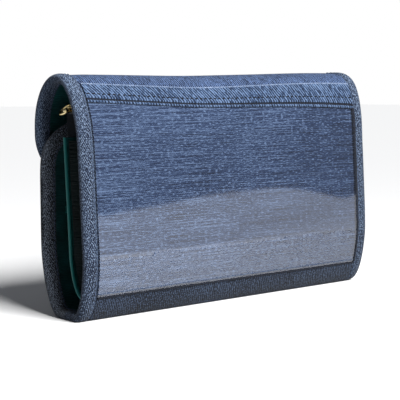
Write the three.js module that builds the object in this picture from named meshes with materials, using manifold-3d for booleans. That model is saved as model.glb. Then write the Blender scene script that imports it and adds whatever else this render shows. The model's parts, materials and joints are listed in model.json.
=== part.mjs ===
// Travel jewelry case: a stiffened denim clutch that folds round a zipped satin pouch.
// Units are millimetres. +X runs along the case, +Y points out of the flap side, +Z is up.
// The clear window faces -Y, and the origin is on the table under the middle of the case.

import * as THREE from 'three';
import { mergeVertices } from 'three/addons/utils/BufferGeometryUtils.js';
import Module from 'manifold-3d';

const wasm = await Module();
wasm.setup();

// Overall size
const caseLength = 248;
const caseHeight = 152;
const caseDepth = 56.8;
const halfLength = caseLength / 2;

// Wall: denim cover outside, board in the middle, satin lining inside
const fitGap = 0.3;
const coverThickness = 0.9;
const boardThickness = 1.2;
const liningThickness = 0.7;
const wallHalf = (coverThickness + boardThickness + liningThickness) / 2 + fitGap;
const coverInner = wallHalf - coverThickness;
const boardOuter = coverInner - fitGap;
const boardInner = boardOuter - boardThickness;
const liningOuter = boardInner - fitGap;

// Binding tape folded over every raw edge of the wall
const bindingHalf = 2.5;
const bindingWidth = 9.5;
const bindingEdge = 2;
const bindingRounding = [
  { inset: 0, half: 1.4 },
  { inset: 0.6, half: 2.1 },
  { inset: 1.5, half: bindingHalf },
];
const panelInset = bindingEdge + fitGap;
const slotOverrun = 1;

// Side profile of the middle of the wall
const topZ = caseHeight - bindingHalf;
const bottomZ = bindingHalf;
const backY = -(caseDepth / 2 - bindingHalf);
const flapY = caseDepth / 2 - bindingHalf;
const frontY = 20.5;
const crownY = 3.5;
const shoulderZ = 100;
const shoulderY = -22.3;
const flapShoulderZ = 118;
const footBackY = -13.5;
const footFrontY = 4.5;
const heelZ = 40;
const toeZ = 46.75;
const curlZ = 86;
const curlRadius = 75;
const curlAngle = 33;

// Where the wall folds, as angles on the profile's own arcs
const topFoldAngle = 122;
const frontFoldAngle = 328;
const foldGap = 0.15;

// Where the back and bottom boards end, as angles round the crown, heel and toe
const boardEnds = { backTop: 126, backHeel: 190, bottomHeel: 196, bottomToe: 310 };

// Free edges of the two moving panels
const flapTipZ = 82;
const flapCornerRadius = 32;
const frontTopZ = 124;
const frontCornerRadius = 29;

// Window on the back
const windowHalfLength = halfLength - bindingWidth - fitGap;
const vinylInner = wallHalf + fitGap;
const vinylThickness = 0.4;
const windowTopZ = 134;
const windowBottomZ = 17;
const slitAngle = 1.2;

// Pouch inside
const pouchHalfLength = 119.5;
const pouchTop = { y: 0.6, z: 112 };
const pouchWaist = { y: -4, z: 48 };
const pouchFootRadius = { y: 14, z: 34 };
const pouchHeelY = -18.6;
const pouchWallHalf = 0.45;
const gussetDepth = 10.5;
const gussetThickness = 0.8;
const gussetTopZ = 110;
const gussetBottomZ = 19;
const pleatFoldY = -11;

// Zip along the top of the pouch
const zipY = 0.8;
const zipZ = 128.4;
const coilWidth = 3;
const coilHeight = 1.6;
const coilHalfLength = 116.1;
const tapeThickness = 0.6;
const stopLength = 2.2;
const sliderLength = 9;
const sliderWidth = 6.4;
const sliderHeight = 3;
const sliderRise = 1;
const channelClearance = 0.35;
const bail = { length: 2.4, width: 4.4, height: 3.8, rise: 4.1 };
const bailTunnel = { width: 2.6, height: 2.4, rise: 4.2 };
const sliderRestX = -111;
const pullPivotZ = zipZ + 4.2;
const pullLength = 12.8;
const pullWidth = 7;
const pullThickness = 1.1;
const pullBarHalf = 0.55;
const frontTapeEase = { y: 1.9, z: 120 };
const frontTapeEndY = 2;
const backTapeEnd = { y: -15.6, drop: 1.1 };
const pullRestAngle = THREE.MathUtils.degToRad(-14);

// Fittings on the front panel
const magnetRadius = 7;
const magnetThickness = 0.8;
const magnetZ = 94;
const pocketHalfLength = 108;
const pocketBottomAngle = 340;
const pocketTopZ = 64;
const pocketThickness = 0.8;
const hemTopZ = 68;
const hemThickness = 1.5;
const padBottomZ = 72;
const padTopZ = 100;
const padSpan = { from: -106, to: -6 };
const padThickness = 2.2;
const fittingsSetback = 0.5;
const rollRadius = 6;
const rollCentre = { y: 11.2, z: 84 };
const rollSpan = { from: 6, to: 106 };
const bandWidth = 8;
const bandThickness = 0.8;
const bandInset = 12;

const finishes = {
  denim: { color: 0x44587f, roughness: 0.92, metalness: 0 },
  darkDenim: { color: 0x2f3f63, roughness: 0.94, metalness: 0 },
  satin: { color: 0x0e5c60, roughness: 0.42, metalness: 0 },
  board: { color: 0xcbbf9f, roughness: 0.9, metalness: 0 },
  vinyl: { color: 0xb9c3d6, roughness: 0.08, metalness: 0, transparent: true, opacity: 0.3 },
  zipTape: { color: 0x18202c, roughness: 0.85, metalness: 0 },
  gold: { color: 0xc8a35a, roughness: 0.25, metalness: 1 },
  steel: { color: 0x9a9ca0, roughness: 0.35, metalness: 1 },
  felt: { color: 0x1b6f72, roughness: 0.95, metalness: 0 },
};

const axisX = new THREE.Vector3(1, 0, 0);
const axisY = new THREE.Vector3(0, 1, 0);
const axisZ = new THREE.Vector3(0, 0, 1);

// ---- Profiles -------------------------------------------------------------------------

function point(y, z) {
  return new THREE.Vector2(y, z);
}

// Part of an ellipse, angles in degrees counted from +Y towards +Z.
function arc(centreY, centreZ, radiusY, radiusZ, from, to, stepAngle = 6) {
  const steps = Math.max(2, Math.ceil(Math.abs(to - from) / stepAngle));
  const points = [];
  for (let step = 0; step <= steps; step += 1) {
    const angle = THREE.MathUtils.degToRad(from + ((to - from) * step) / steps);
    points.push(point(centreY + radiusY * Math.cos(angle), centreZ + radiusZ * Math.sin(angle)));
  }
  return points;
}

function crownArc(from, to) {
  return arc(crownY, shoulderZ, crownY - shoulderY, topZ - shoulderZ, from, to);
}

function heelArc(from, to) {
  return arc(footBackY, heelZ, footBackY - backY, heelZ - bottomZ, from, to);
}

function toeArc(from, to) {
  return arc(footFrontY, toeZ, frontY - footFrontY, toeZ - bottomZ, from, to);
}

function curlArc(from, to) {
  return arc(frontY - curlRadius, curlZ, curlRadius, curlRadius, from, to, 3);
}

function crownAngleAt(z) {
  return 180 - THREE.MathUtils.radToDeg(Math.asin((z - shoulderZ) / (topZ - shoulderZ)));
}

function heelAngleAt(z) {
  return 180 + THREE.MathUtils.radToDeg(Math.asin((heelZ - z) / (heelZ - bottomZ)));
}

function curlAngleAt(z) {
  return THREE.MathUtils.radToDeg(Math.asin((z - curlZ) / curlRadius));
}

// Joins stretches end to end and drops points that repeat.
function joinPath(...stretches) {
  const path = [];
  for (const next of stretches.flat()) {
    const last = path[path.length - 1];
    if (!last || last.distanceTo(next) > 0.01) {
      path.push(next);
    }
  }
  return path;
}

// Shortens a path at its ends, to leave the gap of a fold.
function trimPath(path, startGap, endGap) {
  const trimmed = path.map((each) => each.clone());
  const last = trimmed.length - 1;
  const startWay = path[1].clone().sub(path[0]).normalize();
  const endWay = path[last - 1].clone().sub(path[last]).normalize();
  trimmed[0].addScaledVector(startWay, startGap);
  trimmed[last].addScaledVector(endWay, endGap);
  return trimmed;
}

// Moves a path sideways. Every path runs with the outside of the case on its right.
function offsetPath(path, distance) {
  return path.map((each, index) => {
    const before = path[Math.max(index - 1, 0)];
    const after = path[Math.min(index + 1, path.length - 1)];
    const way = after.clone().sub(before).normalize();
    return point(each.x + way.y * distance, each.y - way.x * distance);
  });
}

const flapPath = trimPath([point(flapY, flapTipZ), point(flapY, flapShoulderZ)], 0, foldGap);

const spinePath = trimPath(
  joinPath(
    arc(crownY, flapShoulderZ, flapY - crownY, topZ - flapShoulderZ, 0, 90),
    crownArc(90, topFoldAngle),
  ),
  foldGap,
  foldGap,
);

const backPath = trimPath(
  joinPath(crownArc(topFoldAngle, 180), heelArc(180, 270), toeArc(270, frontFoldAngle)),
  foldGap,
  foldGap,
);

const frontPath = trimPath(
  joinPath(toeArc(frontFoldAngle, 360), curlArc(0, curlAngle)),
  foldGap,
  0,
);

// ---- Solids ---------------------------------------------------------------------------

function solidOf(geometry) {
  const source = geometry.clone();
  source.deleteAttribute('normal');
  source.deleteAttribute('uv');
  const merged = mergeVertices(source, 1e-4);
  return new wasm.Manifold(new wasm.Mesh({
    numProp: 3,
    vertProperties: new Float32Array(merged.attributes.position.array),
    triVerts: new Uint32Array(merged.index.array),
  }));
}

function geometryOf(solid) {
  const { vertProperties, triVerts } = solid.getMesh();
  const geometry = new THREE.BufferGeometry();
  geometry.setAttribute('position', new THREE.BufferAttribute(vertProperties, 3));
  geometry.setIndex(new THREE.BufferAttribute(triVerts, 1));
  geometry.computeVertexNormals();
  return geometry;
}

function boxSolid(sizeX, sizeY, sizeZ, x = 0, y = 0, z = 0) {
  return solidOf(new THREE.BoxGeometry(sizeX, sizeY, sizeZ).translate(x, y, z));
}

// A side-view outline pushed along X.
function alongX(outline, fromX, toX) {
  const geometry = new THREE.ExtrudeGeometry(new THREE.Shape(outline), {
    depth: toX - fromX,
    bevelEnabled: false,
  });
  const turn = new THREE.Matrix4().makeBasis(axisY, axisZ, axisX).setPosition(fromX, 0, 0);
  return solidOf(geometry.applyMatrix4(turn));
}

// A layer of wall that follows a path, from one offset to another.
function wallStrip(path, inner, outer, fromX, toX) {
  const outline = [...offsetPath(path, outer), ...offsetPath(path, inner).reverse()];
  return alongX(outline, fromX, toX);
}

// The front view of a panel with two rounded corners, pushed through the whole depth.
function panelPrism({ foldZ, edgeZ, cornerRadius }, inset) {
  const cornerSteps = 10;
  const halfWidth = halfLength - inset;
  const radius = cornerRadius - inset;
  const way = Math.sign(edgeZ - foldZ);
  const edge = edgeZ - way * inset;
  const corner = [];
  for (let step = 0; step <= cornerSteps; step += 1) {
    const angle = ((step / cornerSteps) * Math.PI) / 2;
    const x = halfWidth - radius + radius * Math.cos(angle);
    corner.push(new THREE.Vector2(x, edge - way * radius + way * radius * Math.sin(angle)));
  }
  const otherCorner = corner.map(({ x, y }) => new THREE.Vector2(-x, y)).reverse();
  const outline = new THREE.Shape([
    new THREE.Vector2(halfWidth, foldZ),
    ...corner,
    ...otherCorner,
    new THREE.Vector2(-halfWidth, foldZ),
  ]);
  const depth = caseDepth * 2;
  const geometry = new THREE.ExtrudeGeometry(outline, { depth, bevelEnabled: false });
  const turn = new THREE.Matrix4().makeBasis(axisX, axisZ, axisY.clone().negate());
  return solidOf(geometry.applyMatrix4(turn.setPosition(0, caseDepth, 0)));
}

const flapPanel = {
  path: flapPath,
  foldZ: flapShoulderZ + 10,
  edgeZ: flapTipZ,
  cornerRadius: flapCornerRadius,
};

const frontPanel = {
  path: frontPath,
  foldZ: 0,
  edgeZ: frontTopZ,
  cornerRadius: frontCornerRadius,
};

// A layer of a panel. Without an edge height the panel is a plain band along the case.
function panelLayer(panel, inner, outer, inset) {
  const reach = halfLength - inset;
  const strip = wallStrip(panel.path, inner, outer, -reach, reach);
  return panel.edgeZ === undefined ? strip : strip.intersect(panelPrism(panel, inset));
}

// Tape folded over the free edge of a panel, both ends and round the corners.
function edgeBinding(panel) {
  const longPanel = { ...panel, path: trimPath(panel.path, -slotOverrun, -slotOverrun) };
  const slot = panelLayer(longPanel, -wallHalf - fitGap, wallHalf + fitGap, bindingEdge);
  const middle = panelPrism(panel, bindingWidth);
  return bindingRounding
    .map(({ inset, half }) => panelLayer(panel, -half, half, inset))
    .reduce((whole, slab) => whole.add(slab))
    .subtract(slot)
    .subtract(middle);
}

// Tape folded over one end of a band. side is -1 for the low X end and 1 for the other.
function endBinding(path, side) {
  const span = (inset, width) => [side * (halfLength - inset), side * (halfLength - width)]
    .sort((a, b) => a - b);
  const slot = wallStrip(
    trimPath(path, -slotOverrun, -slotOverrun),
    -wallHalf - fitGap,
    wallHalf + fitGap,
    ...span(bindingEdge, bindingWidth + slotOverrun),
  );
  return bindingRounding
    .map(({ inset, half }) => wallStrip(path, -half, half, ...span(inset, bindingWidth)))
    .reduce((whole, slab) => whole.add(slab))
    .subtract(slot);
}

function addPiece(group, name, shape, finish) {
  const geometry = shape.isBufferGeometry ? shape : geometryOf(shape);
  const mesh = new THREE.Mesh(geometry, new THREE.MeshStandardMaterial(finish));
  mesh.name = name;
  group.add(mesh);
  return mesh;
}

const jewelryCase = new THREE.Group();

// ---- Covers, boards, linings and bindings ---------------------------------------------

const panels = {
  back: { path: backPath },
  spine: { path: spinePath },
  flap: flapPanel,
  front: frontPanel,
};

const boardPaths = {
  back: joinPath(crownArc(boardEnds.backTop, 180), heelArc(180, boardEnds.backHeel)),
  bottom: joinPath(heelArc(boardEnds.bottomHeel, 270), toeArc(270, boardEnds.bottomToe)),
  spine: spinePath,
};

for (const [name, panel] of Object.entries(panels)) {
  const cover = panelLayer(panel, coverInner, wallHalf, panelInset);
  const lining = panelLayer(panel, -wallHalf, liningOuter, panelInset);
  addPiece(jewelryCase, `${name}_cover`, cover, finishes.denim);
  addPiece(jewelryCase, `${name}_lining`, lining, finishes.satin);
}

for (const [name, path] of Object.entries(boardPaths)) {
  const board = panelLayer({ path }, boardInner, boardOuter, panelInset);
  addPiece(jewelryCase, `${name}_board`, board, finishes.board);
}

for (const [name, path] of Object.entries({ back: backPath, spine: spinePath })) {
  addPiece(jewelryCase, `${name}_binding_left`, endBinding(path, -1), finishes.denim);
  addPiece(jewelryCase, `${name}_binding_right`, endBinding(path, 1), finishes.denim);
}

for (const [name, panel] of Object.entries({ flap: flapPanel, front: frontPanel })) {
  addPiece(jewelryCase, `${name}_binding`, edgeBinding(panel), finishes.darkDenim);
}

// ---- Boards with magnets --------------------------------------------------------------

// A round plug that stands square to the wall, about its own centre.
function magnetPlug(radius, thickness) {
  return new THREE.CylinderGeometry(radius, radius, thickness, 32);
}

function addMagnetBoard(name, panel, centreY, tilt) {
  const hole = magnetPlug(magnetRadius + fitGap, 4 * wallHalf)
    .rotateX(tilt)
    .translate(0, centreY, magnetZ);
  const board = panelLayer(panel, boardInner, boardOuter, panelInset).subtract(solidOf(hole));
  addPiece(jewelryCase, `${name}_board`, board, finishes.board);
  const plug = magnetPlug(magnetRadius, magnetThickness);
  const magnet = addPiece(jewelryCase, `${name}_magnet`, plug, finishes.steel);
  magnet.position.set(0, centreY, magnetZ);
  magnet.rotation.x = tilt;
}

const boardMiddle = (boardInner + boardOuter) / 2;
const magnetTilt = THREE.MathUtils.degToRad(curlAngleAt(magnetZ));
const curlSetback = curlRadius * (1 - Math.cos(magnetTilt));
addMagnetBoard('flap', flapPanel, flapY + boardMiddle, 0);
addMagnetBoard('front', frontPanel, frontY - curlSetback + boardMiddle, magnetTilt);

// ---- Clear window on the back ---------------------------------------------------------

const slitStart = crownAngleAt(windowTopZ);
const vinylPath = joinPath(crownArc(slitStart, 180), heelArc(180, heelAngleAt(windowBottomZ)));
const borderPath = crownArc(topFoldAngle + 0.6, slitStart - slitAngle);
const vinylOuter = vinylInner + vinylThickness;
const vinyl = wallStrip(vinylPath, vinylInner, vinylOuter, -windowHalfLength, windowHalfLength);
const border = wallStrip(borderPath, vinylInner, vinylOuter, -windowHalfLength, windowHalfLength);
addPiece(jewelryCase, 'window_vinyl', vinyl, finishes.vinyl);
addPiece(jewelryCase, 'window_top_border', border, finishes.denim);

// ---- Zipped pouch ---------------------------------------------------------------------

const pouchFoot = arc(
  pouchWaist.y - pouchFootRadius.y,
  pouchWaist.z,
  pouchFootRadius.y,
  pouchFootRadius.z,
  -90,
  0,
);
const pouchPath = joinPath(
  [point(pouchHeelY, pouchWaist.z - pouchFootRadius.z)],
  pouchFoot,
  [point(pouchTop.y, pouchTop.z)],
);
const pouchFront = wallStrip(
  pouchPath,
  -pouchWallHalf,
  pouchWallHalf,
  -pouchHalfLength,
  pouchHalfLength,
);
addPiece(jewelryCase, 'pouch_front', pouchFront, finishes.satin);

// Each gusset is a pleat folded inwards, cut to the space between the pouch and the lining.
const gussetBack = offsetPath(
  joinPath(crownArc(crownAngleAt(gussetTopZ), 180), heelArc(180, heelAngleAt(gussetBottomZ))),
  -bindingHalf - fitGap,
);
const gussetFront = offsetPath(pouchPath, -pouchWallHalf - fitGap)
  .filter(({ y }) => y > gussetBottomZ && y < gussetTopZ);
const gussetSpace = [...gussetBack, ...gussetFront, point(-0.3, gussetTopZ)];

function gusset(side) {
  const outerX = side * (pouchHalfLength - fitGap);
  const innerX = side * (pouchHalfLength - gussetDepth);
  const shift = side * gussetThickness;
  const pleat = new THREE.Shape([
    point(outerX, backY),
    point(innerX, pleatFoldY),
    point(outerX, frontY / 4),
    point(outerX - shift, frontY / 4),
    point(innerX - shift, pleatFoldY),
    point(outerX - shift, backY),
  ]);
  const depth = caseHeight;
  const sheet = solidOf(new THREE.ExtrudeGeometry(pleat, { depth, bevelEnabled: false }));
  return sheet.intersect(alongX(gussetSpace, -halfLength, halfLength));
}

addPiece(jewelryCase, 'pouch_gusset_left', gusset(-1), finishes.satin);
addPiece(jewelryCase, 'pouch_gusset_right', gusset(1), finishes.satin);

// ---- Zip ------------------------------------------------------------------------------

const tapeTopZ = zipZ - coilHeight / 2 - fitGap;
const frontTapePath = new THREE.SplineCurve([
  point(pouchTop.y + 0.1, pouchTop.z + 0.5),
  point(frontTapeEase.y, frontTapeEase.z),
  point(frontTapeEndY, tapeTopZ),
]).getPoints(8);
const backTapePath = [
  point(0, tapeTopZ - tapeThickness / 2),
  point(backTapeEnd.y, tapeTopZ - backTapeEnd.drop),
];

for (const [name, path] of Object.entries({ front: frontTapePath, back: backTapePath })) {
  const half = tapeThickness / 2;
  const tape = wallStrip(path, -half, half, -coilHalfLength, coilHalfLength);
  addPiece(jewelryCase, `zip_tape_${name}`, tape, finishes.zipTape);
}

const coil = addPiece(
  jewelryCase,
  'zip_coil',
  new THREE.BoxGeometry(2 * coilHalfLength, coilWidth, coilHeight),
  finishes.gold,
);
coil.position.set(0, zipY, zipZ);

for (const [name, side] of Object.entries({ left: -1, right: 1 })) {
  const stop = addPiece(
    jewelryCase,
    `zip_stop_${name}`,
    new THREE.BoxGeometry(stopLength, coilWidth + 0.6, coilHeight + 0.4),
    finishes.gold,
  );
  stop.position.set(side * (coilHalfLength + fitGap + stopLength / 2), zipY, zipZ);
}

// The slider straddles the coil, and its bail holds the end bar of the pull.
function sliderSolid() {
  const body = boxSolid(sliderLength, sliderWidth, sliderHeight, 0, 0, sliderRise);
  const channelWidth = coilWidth + 2 * channelClearance;
  const channelTop = coilHeight / 2 + channelClearance;
  const channel = boxSolid(sliderLength + 2, channelWidth, 4, 0, 0, channelTop - 2);
  const arch = boxSolid(bail.length, bail.width, bail.height, 0, 0, bail.rise);
  const tunnel = boxSolid(4, bailTunnel.width, bailTunnel.height, 0, 0, bailTunnel.rise);
  return body.subtract(channel).add(arch).subtract(tunnel);
}

function pullGeometry() {
  const outerRadius = pullWidth / 2;
  const holeRadius = outerRadius - 2 * pullBarHalf;
  const endY = pullLength - pullBarHalf - outerRadius;
  const outline = new THREE.Shape();
  outline.moveTo(-outerRadius, -pullBarHalf);
  outline.lineTo(outerRadius, -pullBarHalf);
  outline.lineTo(outerRadius, endY);
  outline.absarc(0, endY, outerRadius, 0, Math.PI, false);
  outline.closePath();
  const hole = new THREE.Path();
  hole.moveTo(-holeRadius, pullBarHalf);
  hole.lineTo(-holeRadius, endY);
  hole.absarc(0, endY, holeRadius, Math.PI, 0, true);
  hole.lineTo(holeRadius, pullBarHalf);
  hole.closePath();
  outline.holes.push(hole);
  const loop = new THREE.ExtrudeGeometry(outline, {
    depth: pullThickness,
    bevelEnabled: false,
    curveSegments: 12,
  });
  return loop.translate(0, 0, -pullThickness / 2);
}

const slider = addPiece(jewelryCase, 'zip_slider', sliderSolid(), finishes.gold);
slider.position.set(sliderRestX, zipY, zipZ);

const pull = addPiece(jewelryCase, 'zip_pull', pullGeometry(), finishes.gold);
pull.position.set(sliderRestX, zipY, pullPivotZ);
pull.rotation.x = pullRestAngle;

// ---- Inside of the front panel --------------------------------------------------------

const pocketPath = joinPath(toeArc(pocketBottomAngle, 360), [point(frontY, pocketTopZ)]);
const hemPath = [point(frontY, pocketTopZ + fitGap), point(frontY, hemTopZ)];
const padPath = joinPath([point(frontY, padBottomZ)], curlArc(0, curlAngleAt(padTopZ)));
const fittingsOuter = -wallHalf - fittingsSetback;
const pocketSpan = { from: -pocketHalfLength, to: pocketHalfLength };

const frontFittings = [
  { name: 'front_pocket', path: pocketPath, thickness: pocketThickness, ...pocketSpan },
  { name: 'front_pocket_hem', path: hemPath, thickness: hemThickness, ...pocketSpan },
  { name: 'earring_pad', path: padPath, thickness: padThickness, ...padSpan },
];

for (const { name, path, thickness, from, to } of frontFittings) {
  const sheet = wallStrip(path, fittingsOuter - thickness, fittingsOuter, from, to);
  addPiece(jewelryCase, name, sheet, name === 'earring_pad' ? finishes.felt : finishes.satin);
}

const roll = addPiece(
  jewelryCase,
  'ring_roll',
  new THREE.CylinderGeometry(rollRadius, rollRadius, rollSpan.to - rollSpan.from, 28),
  finishes.felt,
);
roll.position.set((rollSpan.from + rollSpan.to) / 2, rollCentre.y, rollCentre.z);
roll.rotation.z = Math.PI / 2;

function bandGeometry() {
  const inner = rollRadius + fitGap;
  const ring = new THREE.Shape();
  ring.absarc(0, 0, inner + bandThickness, 0, 2 * Math.PI, false);
  const hole = new THREE.Path();
  hole.absarc(0, 0, inner, 0, 2 * Math.PI, true);
  ring.holes.push(hole);
  const band = new THREE.ExtrudeGeometry(ring, {
    depth: bandWidth,
    bevelEnabled: false,
    curveSegments: 24,
  });
  return band.translate(0, 0, -bandWidth / 2);
}

for (const [name, x] of Object.entries({
  left: rollSpan.from + bandInset,
  right: rollSpan.to - bandInset,
})) {
  const band = addPiece(jewelryCase, `ring_roll_band_${name}`, bandGeometry(), finishes.satin);
  band.position.set(x, rollCentre.y, rollCentre.z);
  band.rotation.y = Math.PI / 2;
}

export default jewelryCase;
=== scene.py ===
import bisect
import json
import math

import bmesh
import bpy
from mathutils import Matrix, Vector, noise


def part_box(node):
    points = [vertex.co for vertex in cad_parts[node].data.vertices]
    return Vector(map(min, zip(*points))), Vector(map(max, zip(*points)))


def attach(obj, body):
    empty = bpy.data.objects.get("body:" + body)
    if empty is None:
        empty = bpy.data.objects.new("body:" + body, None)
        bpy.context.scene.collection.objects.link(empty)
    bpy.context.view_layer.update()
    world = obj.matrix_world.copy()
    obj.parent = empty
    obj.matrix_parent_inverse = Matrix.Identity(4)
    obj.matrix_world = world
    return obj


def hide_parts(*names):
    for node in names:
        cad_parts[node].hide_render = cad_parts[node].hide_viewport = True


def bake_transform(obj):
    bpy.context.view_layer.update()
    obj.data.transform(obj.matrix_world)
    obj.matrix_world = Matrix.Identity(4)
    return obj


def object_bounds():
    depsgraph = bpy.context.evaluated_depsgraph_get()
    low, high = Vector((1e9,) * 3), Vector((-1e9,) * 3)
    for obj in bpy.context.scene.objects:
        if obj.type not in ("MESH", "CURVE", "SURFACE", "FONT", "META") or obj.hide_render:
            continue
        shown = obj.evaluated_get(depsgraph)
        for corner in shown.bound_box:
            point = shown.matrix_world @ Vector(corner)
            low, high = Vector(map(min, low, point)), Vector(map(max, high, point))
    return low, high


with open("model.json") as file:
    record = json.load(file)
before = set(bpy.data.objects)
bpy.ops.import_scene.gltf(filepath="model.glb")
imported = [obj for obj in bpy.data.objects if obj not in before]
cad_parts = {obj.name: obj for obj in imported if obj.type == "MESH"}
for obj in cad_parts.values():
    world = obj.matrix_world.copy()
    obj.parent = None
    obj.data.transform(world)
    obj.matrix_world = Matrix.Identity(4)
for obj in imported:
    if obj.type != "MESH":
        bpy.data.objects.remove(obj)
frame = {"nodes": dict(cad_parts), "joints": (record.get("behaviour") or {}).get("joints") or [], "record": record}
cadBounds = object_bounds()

mm = 0.001
low, high = (Vector(corner) for corner in cadBounds)
joints = {joint["name"]: joint for joint in frame["joints"]}
flapPivot = Vector(joints["flap_fold"]["pos_m"])
frontPivot = Vector(joints["front_fold"]["pos_m"])
pullPivot = Vector(joints["pull_swing"]["pos_m"])
halfLength = high.x

# the middle of the wall, seen from the end
wall = {
    "tapeHalf": 2.5 * mm,     # half the thickness of a bound edge
    "wallHalf": 1.7 * mm,     # half the thickness of cover, board and lining
    "shoulder": 100 * mm,     # height where the back starts to lean over
    "shoulderIn": 3.6 * mm,   # how far the back leans in by then
    "crown": 3.5 * mm,        # the ridge, measured from the middle of the depth
    "heel": 40 * mm,
    "toe": 46.75 * mm,
    "footBack": -13.5 * mm,
    "footFront": 4.5 * mm,
    "curlStart": 86 * mm,     # height where the front panel starts to curl in
    "curlRadius": 75 * mm,
    "flapCorner": 32 * mm,
    "frontCorner": 29 * mm,
    "easeFrom": 88 * mm,      # heights between which the back is eased into the crown
    "easeTo": 136 * mm,
    "easeRounds": 60,
    "step": 1.2 * mm,         # longest step of a track
}


def hexColour(code):
    # sRGB hex to the linear colour that shaders take
    channels = [int(code[i:i + 2], 16) / 255 for i in (1, 3, 5)]
    linear = [c / 12.92 if c <= 0.04045 else ((c + 0.055) / 1.055) ** 2.4 for c in channels]
    return (*linear, 1.0)


def smoothStep(value, start, end):
    share = min(max((value - start) / (end - start), 0.0), 1.0)
    return share * share * (3 - 2 * share)


def arcPoints(centre, radii, start, end, steps):
    # start and end are degrees from +Y towards +Z
    points = []
    for step in range(steps + 1):
        angle = math.radians(start + (end - start) * step / steps)
        y = centre[0] + radii[0] * math.cos(angle)
        points.append((y, centre[1] + radii[1] * math.sin(angle)))
    return points


backY = low.y + wall["tapeHalf"]
flapY = high.y - wall["tapeHalf"]
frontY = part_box("front_cover")[1].y - wall["wallHalf"]
topZ = high.z - wall["tapeHalf"]
bottomZ = low.z + wall["tapeHalf"]
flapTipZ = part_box("flap_binding")[0].z
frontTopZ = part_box("front_binding")[1].z
shoulderY = backY + wall["shoulderIn"]
crownCentre = (wall["crown"], wall["shoulder"])
crownRadii = (wall["crown"] - shoulderY, topZ - wall["shoulder"])
heelCentre = (wall["footBack"], wall["heel"])
heelRadii = (wall["footBack"] - backY, wall["heel"] - bottomZ)
toeCentre = (wall["footFront"], wall["toe"])
toeRadii = (frontY - wall["footFront"], wall["toe"] - bottomZ)
curlCentre = (frontY - wall["curlRadius"], wall["curlStart"])
curlEnd = math.degrees(math.asin((frontTopZ - wall["curlStart"]) / wall["curlRadius"]))


class Track:
    # a line of points (y, z) that can be read by distance along it
    def __init__(self, points):
        self.points = [points[0]]
        self.marks = [0.0]
        for point in points[1:]:
            start = self.points[-1]
            gap = math.dist(start, point)
            if gap < 1e-7:
                continue
            steps = math.ceil(gap / wall["step"])
            for step in range(1, steps + 1):
                share = step / steps
                self.points.append((start[0] + (point[0] - start[0]) * share,
                                    start[1] + (point[1] - start[1]) * share))
                self.marks.append(self.marks[-1] + gap / steps)
        self.length = self.marks[-1]

    def at(self, distance):
        # the point, and the direction that points out of the case
        distance = min(max(distance, 0.0), self.length)
        index = min(max(bisect.bisect_right(self.marks, distance), 1), len(self.marks) - 1)
        start, end = self.points[index - 1], self.points[index]
        span = self.marks[index] - self.marks[index - 1]
        share = (distance - self.marks[index - 1]) / span
        y = start[0] + (end[0] - start[0]) * share
        z = start[1] + (end[1] - start[1]) * share
        ahead = self.points[min(index + 1, len(self.points) - 1)]
        behind = self.points[max(index - 2, 0)]
        wayBefore = Vector((end[0] - behind[0], end[1] - behind[1])).normalized()
        wayAfter = Vector((ahead[0] - start[0], ahead[1] - start[1])).normalized()
        way = wayBefore.lerp(wayAfter, share).normalized()
        return y, z, way.y, -way.x

    def nearest(self, y, z):
        best = min(range(len(self.points)), key=lambda i: math.dist(self.points[i], (y, z)))
        return self.marks[best]


shell = Track(
    [(flapY, flapTipZ), (flapY, flapPivot.z)]
    + arcPoints((wall["crown"], flapPivot.z), (flapY - wall["crown"], topZ - flapPivot.z), 0, 90, 40)
    + arcPoints(crownCentre, crownRadii, 90, 165, 60)
    + arcPoints(heelCentre, heelRadii, 180, 270, 40)
    + arcPoints(toeCentre, toeRadii, 270, 360, 50)
    + arcPoints(curlCentre, (wall["curlRadius"],) * 2, 0, curlEnd, 20)
)


# the back is softened where the crown runs into the straight part
for _ in range(wall["easeRounds"]):
    points = list(shell.points)
    for index in range(1, len(points) - 1):
        y, z = points[index]
        if y < 0 and wall["easeFrom"] < z < wall["easeTo"]:
            before, after = points[index - 1], points[index + 1]
            shell.points[index] = ((before[0] + 2 * y + after[0]) / 4,
                                   (before[1] + 2 * z + after[1]) / 4)


def crownMark(angle):
    return shell.nearest(*arcPoints(crownCentre, crownRadii, angle, angle, 1)[0])


def heelMark(angle):
    return shell.nearest(*arcPoints(heelCentre, heelRadii, angle, angle, 1)[0])


marks = {
    "tip": 0.0,
    "flapFold": shell.nearest(flapY, flapPivot.z),
    "seam": crownMark(117),       # top band meets the back
    "topFold": crownMark(122),
    "slit": crownMark(138),       # mouth of the slip pocket
    "windowEnd": heelMark(219),
    "base": (heelMark(270) + shell.nearest(wall["footFront"], bottomZ)) / 2,
    "frontFold": shell.nearest(frontPivot.y, frontPivot.z),
    "top": shell.length,
}

# how the sewn case sits, away from the plain shape
softness = {
    "crownFullness": 1.0,     # the right end of the crown is squarer than an ellipse
    "toeRoundness": 0.3,      # the left end of the toe is rounder than one
    "topLift": (-1.1 * mm, 2.3 * mm),   # left and right end of the ridge
    "liftHeights": (92 * mm, 140 * mm),
    "rightBulge": 1.3 * mm,
    "bulgeHeights": (12 * mm, 60 * mm),
    "rightReach": 1.0 * mm,
    "rightStart": -0.35,      # shares of half the length where the right end's changes start
    "reachStart": 0.8,
}


def cornerScale(p, q, power):
    size = math.hypot(p, q)
    if size < 1e-6:
        return 1.0
    return size / (abs(p) ** power + abs(q) ** power) ** (1 / power)


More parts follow.
